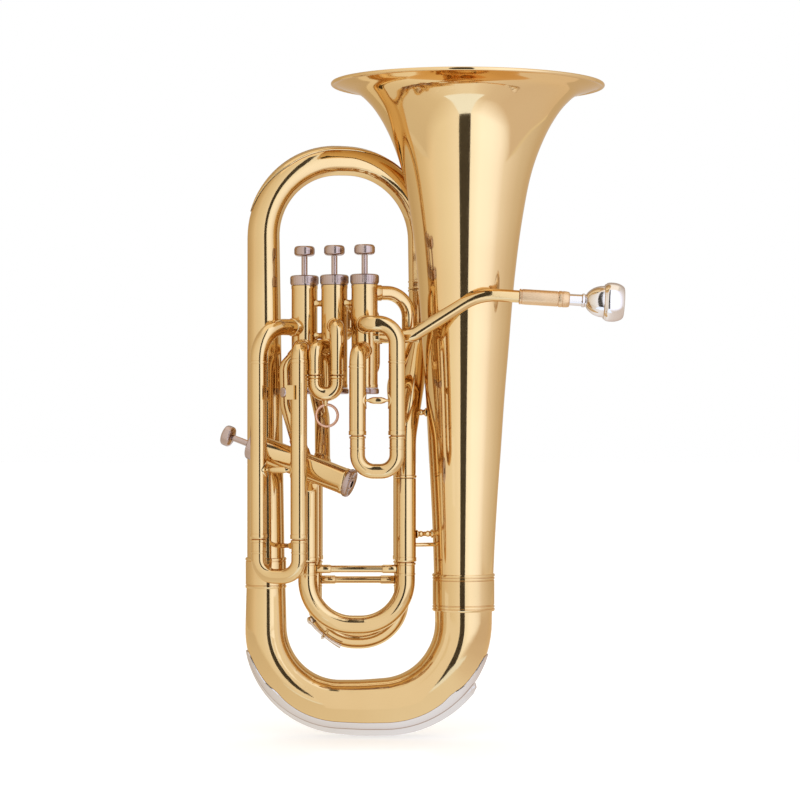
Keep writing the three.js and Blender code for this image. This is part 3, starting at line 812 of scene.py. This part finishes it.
for number, (foot, axis, length) in enumerate(VALVES, start=1):
    name = f"valve_{number}"
    low_end = CASING_LOW
    high_end = low_end + length
    cap_foot = high_end + GAP
    cap_top = cap_foot + TOP_CAP
    button = cap_top + STEM_SHOW
    piston_top = high_end - PISTON_DROP
    piston_foot = piston_top - PISTON_LENGTH
    piece(f"{name}_casing_tube",
          turned([(12.9, low_end), (CASING_R, low_end), (13.9, low_end + 0.5),
                  (13.9, low_end + 3.4), (CASING_R, low_end + 4), (CASING_R, high_end - 4),
                  (13.9, high_end - 3.4), (13.9, high_end - 0.4), (CASING_R, high_end),
                  (12.9, high_end)],
                 foot, axis, 64), nodes=[f"{name}_casing"])
    piece(f"{name}_bottom_cap_turned",
          turned([(4, 0), (6.2, 0), (6.8, 0.7), (10.6, 0.7), (11.4, 0), (13.6, 0), (14.6, 0.7),
                  (15, 1.6), (15, 4.6), (14.6, 5.2), (14.1, 6.2), (12, 6.2), (12, 2), (4, 2)],
                 foot, axis, 120, 40, 0.45, (7, 8)),
          NICKEL, nodes=[f"{name}_bottom_cap"])
    piece(f"{name}_top_cap_turned",
          turned([(3.9, cap_top), (3.9, cap_top - 2.5), (12, cap_top - 2.5), (12, cap_foot),
                  (14.3, cap_foot), (14.4, cap_foot + 1.1), (15, cap_foot + 1.7),
                  (15, cap_top - 2.6), (14.5, cap_top - 1.2), (13.2, cap_top - 0.3),
                  (11.6, cap_top)], foot, axis, 120, 40, 0.5, (6, 7)),
          NICKEL, nodes=[f"{name}_top_cap"])
    piece(f"{name}_piston_turned",
          turned([(0.05, piston_top - 3), (11, piston_top - 3), (11, piston_foot),
                  (12.5, piston_foot), (12.5, piston_top), (3.2, piston_top),
                  (3.2, button - GAP), (0.05, button - GAP)], foot, axis, 48),
          NICKEL, body=f"piston_{number}", nodes=[f"{name}_piston"])
    piece(f"{name}_button_turned",
          turned([(0.05, button), (7.6, button), (9.6, button + 0.9), (10.5, button + 2),
                  (10.8, button + 3.2), (10.8, button + 7.3), (10.4, button + 8.9),
                  (9.5, button + 10), (8.2, button + 10.6), (7.2, button + 10.2),
                  (0.05, button + 10)], foot, axis, 96, 32, 0.3, (4, 5)),
          NICKEL, body=f"piston_{number}", nodes=[f"{name}_button"])


def valve_wall(number, reach=19.6):
    """Cylinder that a tube's end is fitted to, and how far from its axis the tube stops."""
    foot, axis, _ = VALVES[number - 1]
    return (Vector(foot), Vector(axis), CASING_R, reach)


def at(number, z):
    """Point on an upright valve's axis at height z."""
    foot = VALVES[number - 1][0]
    return (foot[0], foot[1], z)


def on_fourth(x):
    """Point on the fourth valve's axis at x."""
    t = (x - FOURTH_FOOT.x) / FOURTH_AXIS.x
    return (x, FOURTH_FOOT.y + t * FOURTH_AXIS.y, FOURTH_FOOT.z + t * FOURTH_AXIS.z)


# ---- slides -------------------------------------------------------------------------
# left and right: where each slide's legs stand. top: ends of its legs. mouth: where the outer
# tubes end. bottom: its crook's lowest centre line. leg, crook, sleeve: outer radii
SLIDES = {
    "first_slide": dict(left=(-146.1, -59), right=(-104.1, -71), top=(388, 384), mouth=211,
                        bottom=172.2, bend=17.5, leg=6.9, crook=7.7, sleeve=8.57),
    "second_slide": dict(left=(-88.2, -64), right=(-65, -64), top=(396, 412), mouth=380,
                         bottom=360, bend=11.6, leg=6.1, crook=7.3, sleeve=7.7),
    "third_slide": dict(left=(-43.5, -85.5), right=(-3.1, -85.5), top=(384, 400), mouth=318,
                        bottom=281, bend=17, leg=6.9, crook=7.7, sleeve=8.57),
    "main_tuning_slide": dict(left=(-97, -12), right=(5.8, -12), top=(240, 262), mouth=184.4,
                              bottom=117.6, bend=47, leg=9.2, crook=10, sleeve=11.06),
    "fourth_slide": dict(left=(-91, 22), right=(1.6, 22), top=(240, 262), mouth=184.4,
                         bottom=97.6, bend=44, leg=7.2, crook=8, sleeve=8.89)}


def slide_run(spec):
    left, right = spec["left"], spec["right"]
    return Run(route([(*left, spec["top"][0]), (*left, spec["bottom"], spec["bend"]),
                      (*right, spec["bottom"], spec["bend"]), (*right, spec["top"][1])],
                     math.radians(5)))


STEP_DROP = 0.8                    # where the crook's wider tube starts, below the mouth

for name, spec in SLIDES.items():
    run = slide_run(spec)
    step_z = spec["mouth"] - STEP_DROP
    first_step = run.crossing(step_z)
    last_step = run.crossing(step_z, last=True)
    bend_z = spec["bottom"] + spec["bend"]
    joint_z = bend_z + 0.35 * (step_z - bend_z)

    def slide_radius(s, a=first_step, b=last_step, spec=spec):
        return spec["crook"] if a <= s <= b else spec["leg"]

    rings = []
    for last in (False, True):
        for z, half, lift in ((step_z - 1.5, 1.2, 0.75), (joint_z, 0.9, 0.45)):
            middle = run.crossing(z, last)
            rings.append((middle - half, middle + half, lift))
    body_tube = tube(run, slide_radius, lambda s, spec=spec: spec["leg"] - SHEET, 44, bands=rings)
    piece(f"{name}_tube", body_tube, body=name, nodes=[name])


def outer_leg(name, spec_name, leg, corners, valve, marks=()):
    """Outer tube over one of a slide's legs, from a valve (0 for none), banded at marks."""
    spec = SLIDES[spec_name]
    run = Run(route([*corners, (*spec[leg], spec["mouth"])]))
    end = run.length
    bands = [(end - 4.6, end - 0.1, 0.45)]
    for z in marks:
        s = run.crossing(z, last=True)
        bands.append((s - 1.1, s + 1.1, 0.55))
    fit = None
    if valve:
        fit = valve_wall(valve, 20.6) if valve == 4 else valve_wall(valve)
    piece(name + "_tube",
          tube(run, spec["sleeve"], spec["leg"] + 0.25, 44, bands=bands, start_on=fit),
          nodes=[name])


outer_leg("first_slide_outer_left", "first_slide", "left",
          [at(1, 430), (-146.1, -59, 430, 34)], 1, (393,))
outer_leg("first_slide_outer_right", "first_slide", "right",
          [at(1, 408), (-104.1, -71, 408, 18)], 1, (393,))
outer_leg("second_slide_outer_left", "second_slide", "left",
          [at(2, 409), (-88.2, -64, 409, 12)], 2)
outer_leg("second_slide_outer_right", "second_slide", "right",
          [at(2, 430.8), (-65, -64, 430.8, 12)], 2)
outer_leg("third_slide_outer_left", "third_slide", "left",
          [at(3, 405), (-43.5, -85.5, 405, 16)], 3, (388,))
outer_leg("third_slide_outer_right", "third_slide", "right",
          [at(3, 432), (-34, -85.5, 432, 10), (-3.1, -85.5, 432, 20)], 3, (393,))
outer_leg("main_slide_outer_left", "main_tuning_slide", "left",
          [on_fourth(-92), (-97, -12, 266, 13)], 4)
outer_leg("main_slide_outer_right", "main_tuning_slide", "right", [(5.8, -12, 271.6)], 0)
outer_leg("fourth_slide_outer_left", "fourth_slide", "left",
          [on_fourth(-66), (-66, 22, 275, 10), (-91, 22, 275, 11)], 4)

return_run = Run(route([at(3, 465.5), (9.3, -25, 465.5, 25), (9.3, -25, 426, 12),
                        (-7, 31, 368, 16), (1.6, 22, 300, 20), (1.6, 22, 184.4)]))
widen = return_run.crossing(310, last=True)
end = return_run.length
piece("fourth_slide_outer_right_tube",
      tube(return_run, lambda s: 7.5 if s < widen else 8.89,
           lambda s: 6.6 if s < widen else 7.45, 44,
           bands=[(end - 4.6, end - 0.1, 0.45), (widen, widen + 3, 0.5)],
           start_on=valve_wall(3)),
      nodes=["fourth_slide_outer_right"])

# ---- fixed tubes between the valves -----------------------------------------------------
FOURTH_TUBE_R = 7.9
for word, number, corners in (
        ("inlet", 2, [at(2, 398), (-87, 10, 398, 12), (-89, 10, 366, 14), (-82, -3, 336, 24),
                      on_fourth(-80)]),
        ("return", 1, [at(1, 395), (-119, -27.5, 395, 12), (-117, -34, 348, 22),
                       on_fourth(-98)])):
    piece(f"fourth_valve_{word}_tube",
          tube(Run(route(corners)), FOURTH_TUBE_R, FOURTH_TUBE_R - SHEET, 44,
               start_on=valve_wall(number), end_on=valve_wall(4)),
          nodes=[f"fourth_valve_{word}"])

for word, number, dx, dy, top_z, low_z, radius in (
        ("first", 1, -9, 32, 408, 380, 5.4), ("second", 2, 14, 32, 455, 422, 5.8),
        ("third", 3, 10, 34, 445, 385, 5.8)):
    x, y, _ = at(number, 0)
    loop = Run(route([at(number, top_z), (x + dx, y + dy, top_z, 10),
                      (x + dx, y + dy, low_z, 10), at(number, low_z)]))
    piece(f"{word}_compensating_loop_tube",
          tube(loop, radius, radius - SHEET, 36, start_on=valve_wall(number),
               end_on=valve_wall(number)),
          nodes=[f"{word}_compensating_loop"])

# ---- leadpipe, receiver, mouthpiece ---------------------------------------------------
DROOP = math.radians(3.5)
PIPE_AXIS = Vector((math.cos(DROOP), 0, -math.sin(DROOP)))
RECEIVER_END = Vector((174.9, -62, 457.6))
RECEIVER_LENGTH = 52
pipe_start = RECEIVER_END - PIPE_AXIS * (RECEIVER_LENGTH + GAP)
leadpipe = Run(route([tuple(pipe_start), (81.8, -62, 463.3, 60), (11.9, -56, 420, 25),
                      at(3, 420)]))


def leadpipe_radius(s):
    return 6.4 + 0.9 * s / leadpipe.length


piece("leadpipe_tube",
      tube(leadpipe, leadpipe_radius, lambda s: leadpipe_radius(s) - SHEET, 44,
           end_on=valve_wall(3)),
      nodes=["leadpipe"])
near = -RECEIVER_LENGTH
piece("mouthpiece_receiver_turned",
      turned([(6.6, near), (7.4, near), (8.0, near + 0.5), (8.1, near + 1.8),
              (7.2, near + 2.0), (7.2, near + 2.6), (7.9, near + 2.9), (8.0, near + 6),
              (8.0, -12.4), (7.5, -12.2),
              (7.5, -11.7), (8.1, -11.5), (8.4, -10.4), (8.4, -7.8), (7.9, -7.6), (7.9, -7.2),
              (8.4, -7), (8.3, -3.4), (8.0, -1.6), (7.4, -0.4), (6.6, 0)],
             RECEIVER_END, PIPE_AXIS, 56),
      ROSE_BRASS, nodes=["mouthpiece_receiver"])
piece("mouthpiece_turned",
      turned([(3.4, -25), (5.6, -25), (6.0, 11.8), (6.1, 12.6), (7.0, 13.2), (7.2, 14.4),
              (6.9, 15.6), (6.3, 16.2), (6.4, 17), (7.8, 17.8), (9.8, 19.4), (11.9, 21.8),
              (13.6, 24.4), (15.0, 27.6), (15.9, 31), (16.3, 34.4), (16.4, 35.2), (17.6, 35.6),
              (18.3, 36.4), (18.5, 37.2), (19.3, 37.8), (19.9, 39.4), (20.2, 41.6),
              (20.2, 44.8), (19.9, 47.6), (19.3, 50.2), (18.3, 52.6), (17, 54.7), (15.6, 55.9),
              (14.6, 56.2), (13.8, 55.6), (13.2, 54), (12.8, 50), (12.2, 45), (11.0, 40), (9, 36),
              (6, 31), (4, 28), (3.2, 20)], RECEIVER_END, PIPE_AXIS, 96),
      SILVER, body="mouthpiece", nodes=["mouthpiece"])


# ---- braces ---------------------------------------------------------------------------
def spindle(a, b, profile, sides=32):
    """Turned bar from a to b: profile lists (distance from a or, if negative, from b; radius)."""
    run = Run([Vector(a), Vector(b)])
    marks = sorted((d if d >= 0 else run.length + d, r) for d, r in profile)
    frames = ring_frames(run, [s for s, _ in marks])
    return skin([hoop(f, r, sides) for f, (_, r) in zip(frames, marks)])


COLLAR_ENDS = [(0, 4.4), (0.8, 4.6), (1.6, 4.4), (2.4, 3.2), (4, 2.7), (5.6, 3.3), (6.4, 3.4),
               (7.2, 3.2), (8.4, 2.5), (-8.4, 2.5), (-7.2, 3.2), (-6.4, 3.4), (-5.6, 3.3),
               (-4, 2.7), (-2.4, 3.2), (-1.6, 4.4), (-0.8, 4.6), (-0.001, 4.4)]


def on_bell(z, y=0.0):
    """Point on the side of the bell that faces the valves."""
    height = z - BELL_FOOT.z
    return (BELL_FOOT.x + math.tan(LEAN) * height - bell_radius(height) + 0.4, y, z)


piece("bell_brace_upper_turned",
      spindle((16.2, 2.6, 341), on_bell(341), COLLAR_ENDS), nodes=["bell_brace_upper"])
piece("bell_brace_lower_turned",
      merged(spindle((16.4, -10, 213), on_bell(213), COLLAR_ENDS),
             spindle((15.9, -8, 201.6), on_bell(201.6, -1), [(0, 2.1), (-0.001, 2.1)])),
      nodes=["bell_brace_lower"])


def saddle(centre, toward, tube_r, half_height=8.5, half_angle=0.9, thick=0.7):
    """Pointed oval foot plate bent round a vertical tube at centre, facing toward."""
    facing = math.atan2(toward[1], toward[0])
    rings = []
    steps = 18
    for i in range(steps + 1):
        v = -1 + 2 * i / steps
        width = half_angle * max(0.03, (1 - abs(v) ** 1.6))
        ring = []
        for u, r in ((-1, tube_r), (-0.8, tube_r + thick), (-0.3, tube_r + thick * 1.1),
                     (0.3, tube_r + thick * 1.1), (0.8, tube_r + thick), (1, tube_r),
                     (0, tube_r - 0.15)):
            angle = facing + u * width
            ring.append(Vector((centre[0] + r * math.cos(angle), centre[1] + r * math.sin(angle),
                                centre[2] + v * half_height)))
        rings.append(ring)
    return skin(rings)


OVAL = [(0, 1.9), (1.5, 1.4), (2.6, 1.5), (4.5, 2.6), (7.5, 3.5), (-7.5, 3.5), (-4.5, 2.6),
        (-2.6, 1.5), (-1.5, 1.4), (-0.001, 1.9)]


def across_slide(spec_name, z):
    """Centres of a slide's two tubes at height z, and the direction between them."""
    spec = SLIDES[spec_name]
    a = Vector((*spec["left"], z))
    b = Vector((*spec["right"], z))
    return a, b, (b - a).normalized()


def finger_brace(name, spec_name, z):
    a, b, d = across_slide(spec_name, z)
    r = SLIDES[spec_name]["sleeve"]
    piece(name, merged(spindle(a + d * (r - 0.2), b - d * (r - 0.2), OVAL),
                       saddle(a, d, r), saddle(b, -d, r)))


finger_brace("first_slide_finger_brace", "first_slide", 282)
finger_brace("third_slide_finger_brace", "third_slide", 353.5)


BAR = [(0, 4.3), (0.6, 4.5), (14, 4.5), (14.4, 4.3), (14.6, 3.9), (15.4, 3.9), (15.6, 3.7),
       (-15.6, 3.7), (-15.4, 3.9), (-14.6, 3.9), (-14.4, 4.3), (-14, 4.5), (-0.6, 4.5),
       (-0.001, 4.3)]


def slide_brace(name, spec_name, z):
    a, b, d = across_slide(spec_name, z)
    r = SLIDES[spec_name]["crook"]
    piece(name, spindle(a + d * (r - 0.3), b - d * (r - 0.3), BAR), body=spec_name)


slide_brace("main_slide_brace", "main_tuning_slide", 176.5)
slide_brace("fourth_slide_brace", "fourth_slide", 163)

# stubs that hold the valve casings to each other
STUB = [(0, 4.2), (1.2, 4.0), (2.4, 3.2), (-2.4, 3.2), (-1.2, 4.0), (-0.001, 4.2)]
for name, first, second, z in (("casing_stub_high_left", 1, 2, 455),
                               ("casing_stub_low_left", 1, 2, 421),
                               ("casing_stub_high_right", 2, 3, 455)):
    a = Vector(at(first, z))
    b = Vector(at(second, z))
    d = (b - a).normalized() * (CASING_R - 0.2)
    piece(name, spindle(a + d, b - d, STUB))

piece("first_slide_stay",
      spindle((-112.6, -62, 203.6), (-123.8, -6, 200.6),
              [(0, 3.4), (1.5, 3), (2.4, 2.5), (-2.4, 2.5), (-1.5, 3), (-0.001, 3.4)]))


# ---- finger ring on the second slide ----------------------------------------------------
def torus(centre, major, minor, sides=64, wire_sides=20):
    """Ring of round wire about an axis along y."""
    rings = []
    for i in range(sides):
        a = 2 * math.pi * i / sides
        out = Vector((math.cos(a), 0, math.sin(a)))
        ring = []
        for k in range(wire_sides):
            b = 2 * math.pi * k / wire_sides
            ring.append(Vector(centre) + out * (major + minor * math.cos(b))
                        + Vector((0, 1, 0)) * minor * math.sin(b))
        rings.append(ring)
    return skin(rings, closed=True)


piece("second_slide_ring", torus((-75.4, -64, 338), 11.2, 1.4), COPPER, body="second_slide")
piece("second_slide_ring_stub",
      spindle((-76.6, -64, 347.8), (-76.6, -64, 354.4),
              [(0, 1.8), (1, 2.2), (2.2, 2.0), (4.4, 2.4), (5.6, 3.2), (-0.001, 3.8)]),
      body="second_slide")

# ---- water key ---------------------------------------------------------------------------
FOURTH = SLIDES["fourth_slide"]
KEY_CENTRE = (FOURTH["left"][0] + FOURTH["bend"], FOURTH["bottom"] + FOURTH["bend"])


def on_crook(degrees, distance, y):
    """Point at an angle and distance from the centre of the fourth slide's left bend."""
    a = math.radians(degrees)
    return Vector((KEY_CENTRE[0] + distance * math.cos(a), y,
                   KEY_CENTRE[1] + distance * math.sin(a)))


lever = Run([on_crook(*spot) for spot in (
    (204, 53.5, 12.8), (209, 52.4, 12), (215, 51.5, 11.5), (221, 50.6, 11.1), (228, 50, 10.8),
    (234, 49.9, 10.5), (240, 50, 10.2), (246, 50.4, 9.8), (252, 51, 9.5))])


def lever_radius(s):
    share = s / lever.length
    return 1.4 + 1.0 * max(0.0, share - 0.6) / 0.4


PAD_SEAT = on_crook(204, 50.2, 16)
PAD_TOP = on_crook(204, 53.5, 12.8)
PIVOT = on_crook(228, 50, 10.8)
KEY_AXIS = (PAD_TOP - PAD_SEAT).cross(lever.points[-1] - lever.points[0]).normalized()
pad_lift = PAD_TOP - PAD_SEAT
piece("water_key_lever",
      merged(tube(lever, lever_radius, None, 20),
             spindle(PAD_TOP - pad_lift * 0.3, PAD_TOP + pad_lift * 0.15,
                     [(0, 4.1), (0.3, 4.3), (1.2, 4.2), (1.7, 3.4), (-0.001, 2.4)]),
             spindle(PIVOT - KEY_AXIS * 3.6, PIVOT + KEY_AXIS * 3.6,
                     [(0, 1.9), (0.4, 2.1), (-0.4, 2.1), (-0.001, 1.9)])),
      SILVER, body="water_key", nodes=["water_key"])
piece("water_key_cork",
      spindle(PAD_SEAT, PAD_SEAT.lerp(PAD_TOP, 0.72), [(0, 3.5), (0.3, 3.9), (-0.001, 3.9)]),
      CORK, body="water_key")
CROOK_SPOT = on_crook(228, 44, 22)
toward_key = (PIVOT - CROOK_SPOT).normalized()
piece("water_key_saddle",
      merged(*[spindle(CROOK_SPOT + toward_key * 7.6 + KEY_AXIS * side,
                       PIVOT + KEY_AXIS * side, [(0, 1.5), (-0.001, 1.3)], 16)
               for side in (-4.9, 4.9)]),
      body="fourth_slide")


# ---- lyre holder ---------------------------------------------------------------------------
def square_socket(centre, facing, half, hole, half_height):
    """Upright square tube: its flat front looks along facing."""
    out = Vector((*facing, 0)).normalized()
    side = Vector((0, 0, 1)).cross(out)
    rings = []
    for reach, z in ((half, -half_height), (half, half_height), (hole, half_height),
                     (hole, -half_height)):
        rings.append([Vector(centre) + (out * a + side * b) * reach + Vector((0, 0, z))
                      for a, b in ((1, 1), (1, -1), (-1, -1), (-1, 1))])
    return skin(rings, closed=True)


LYRE = Vector((-111.5, -79.5, 361.8))
LYRE_FACING = Vector((-0.34, -0.94, 0))
LYRE_SIDE = Vector((-0.94, 0.34, 0))
piece("lyre_socket",
      merged(square_socket(LYRE, LYRE_FACING[:2], 4.4, 2.6, 7.3),
             spindle(LYRE - LYRE_FACING * 4.2 + LYRE_SIDE * -3, (-106.8, -77.6, 361.8),
                     [(0, 2.8), (-0.001, 3.2)])), sharp=30)
piece("lyre_thumb_screw",
      merged(spindle(LYRE + LYRE_SIDE * 4.2, LYRE + LYRE_SIDE * 7.4, [(0, 1.7), (-0.001, 1.7)]),
             turned([(0.05, 0), (4.6, 0), (5.3, 0.7), (5.3, 2.7), (4.6, 3.4), (0.05, 3.6)],
                    LYRE + LYRE_SIDE * 7.2, (-0.8, -0.6, 0), 72, 24, 0.35, (2, 3))),
      NICKEL)

# ---- springs: they stand in the bottom caps -----------------------------------------------------
SPRING_FOOT = 2.5
SPRING_TOP = 45.6
FOURTH_SPRING_TOP = 17.9           # drawn at its pressed length
WIRE_R = 0.9
SPRING_R = 9
SPRING_TURNS = 5


def coil(foot, axis, top):
    """Wire from the cap's floor up to top, along a valve's axis."""
    side = axis.orthogonal().normalized()
    ahead = axis.cross(side)
    steps = SPRING_TURNS * 24
    points = []
    for i in range(steps + 1):
        angle = 2 * math.pi * SPRING_TURNS * i / steps
        height = SPRING_FOOT + WIRE_R + (top - SPRING_FOOT - 2 * WIRE_R) * i / steps
        points.append(Vector(foot) + axis * height
                      + (side * math.cos(angle) + ahead * math.sin(angle)) * SPRING_R)
    return tube(Run(points), WIRE_R, sides=10, gap=2.2)


for number, (foot, axis, _) in enumerate(VALVES, start=1):
    axis = Vector(axis)
    top = SPRING_TOP if number < 4 else FOURTH_SPRING_TOP
    spring = piece(f"valve_{number}_spring_coil", coil(foot, axis, top), STEEL,
                   nodes=[f"valve_{number}_spring"])
    if number < 4:
        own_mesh(spring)
